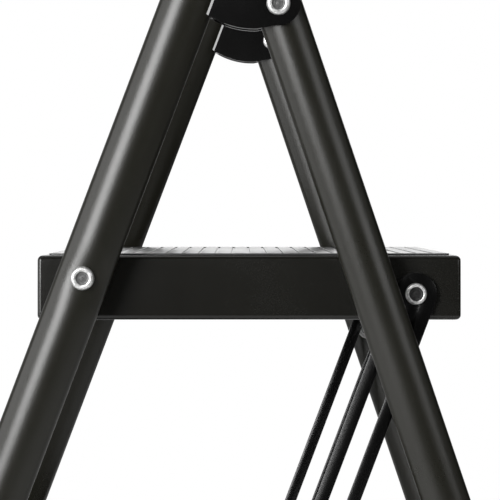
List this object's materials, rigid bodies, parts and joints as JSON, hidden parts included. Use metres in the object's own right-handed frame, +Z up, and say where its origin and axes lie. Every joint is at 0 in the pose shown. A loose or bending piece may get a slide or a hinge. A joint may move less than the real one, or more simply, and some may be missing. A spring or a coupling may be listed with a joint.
{
  "type": "folding step stool",
  "caption": "Folding step stool with oval tube legs, tray steps that fold on slotted links, and a raised hand rail to hold while climbing.",
  "frame": {"origin": "on the floor, in the middle of the footprint of the feet when the stool stands open", "axes": "+X from the climber's side to the back, +Y to the climber's left, +Z up"},
  "size_m": [0.588, 0.4458, 0.956],
  "materials": {
    "black_steel": "satin black powder coat",
    "silver_rivet": "zinc plated",
    "zinc_rod": "bright zinc plated",
    "mat_rubber": "matt ribbed",
    "foot_plastic": "matt moulded",
    "grip_foam": "matt foam"
  },
  "bodies": {
    "front_frame": {"front_cross_tube": "black_steel", "handle_bow": "black_steel", "handle_grip": "grip_foam", "front_leg_left": "black_steel", "front_leg_right": "black_steel", "front_foot_left": "foot_plastic", "front_foot_right": "foot_plastic", "bow_collar_left": "foot_plastic", "bow_collar_right": "foot_plastic", "hinge_bracket_left": "black_steel", "hinge_bracket_right": "black_steel", "rear_leg_rivet_left": "silver_rivet", "rear_leg_rivet_right": "silver_rivet", "platform_rivet_left": "silver_rivet", "platform_rivet_right": "silver_rivet", "platform_spacer_left": "silver_rivet", "platform_spacer_right": "silver_rivet", "lower_step_rivet_left": "silver_rivet", "lower_step_rivet_right": "silver_rivet", "lower_step_spacer_left": "silver_rivet", "lower_step_spacer_right": "silver_rivet"},
    "rear_frame": {"rear_cross_tube": "black_steel", "rear_leg_left": "black_steel", "rear_leg_right": "black_steel", "rear_leg_plug_left": "foot_plastic", "rear_leg_plug_right": "foot_plastic", "rear_foot_left": "foot_plastic", "rear_foot_right": "foot_plastic", "rod_eyelet_left": "silver_rivet", "rod_eyelet_right": "silver_rivet"},
    "platform": {"platform_tray": "black_steel", "platform_mat": "mat_rubber", "platform_stiffener": "black_steel", "platform_link_rivet_left": "silver_rivet", "platform_link_rivet_right": "silver_rivet"},
    "lower_step": {"lower_step_tray": "black_steel", "lower_step_mat": "mat_rubber", "lower_step_stiffener": "black_steel", "lower_step_link_rivet_left": "silver_rivet", "lower_step_link_rivet_right": "silver_rivet"},
    "links": {"link_left": "black_steel", "link_right": "black_steel"},
    "lock_rod": {"lock_rod": "zinc_rod"}
  },
  "joints": [
    {"name": "rear_frame_fold", "type": "hinge", "parent": "front_frame", "child": "rear_frame", "pos_m": [0.04433, 0, 0.6841], "axis": [0, 1, 0], "range_deg": [0, 39.4]},
    {"name": "platform_fold", "type": "hinge", "parent": "front_frame", "child": "platform", "pos_m": [-0.07957, 0, 0.5105], "axis": [0, -1, 0], "range_deg": [0, 57.37]},
    {"name": "lower_step_fold", "type": "hinge", "parent": "front_frame", "child": "lower_step", "pos_m": [-0.17881, 0, 0.24868], "axis": [0, -1, 0], "range_deg": [0, 57.37]},
    {"name": "link_swing", "type": "hinge", "parent": "platform", "child": "links", "pos_m": [0.13283, 0, 0.4998], "axis": [0, 1, 0], "range_deg": [0, 57.37]},
    {"name": "lock_rod_slide", "type": "slide", "parent": "links", "child": "lock_rod", "axis": [-0.3545, 0, -0.9351], "range_m": [0, 0.1934]}
  ],
  "couplings": [
    {"joint": "platform_fold", "follows": "rear_frame_fold", "ratio": 1.4561},
    {"joint": "lower_step_fold", "follows": "rear_frame_fold", "ratio": 1.4561},
    {"joint": "link_swing", "follows": "rear_frame_fold", "ratio": 1.4561},
    {"joint": "lock_rod_slide", "follows": "rear_frame_fold", "m_per_rad": 0.28124}
  ]
}
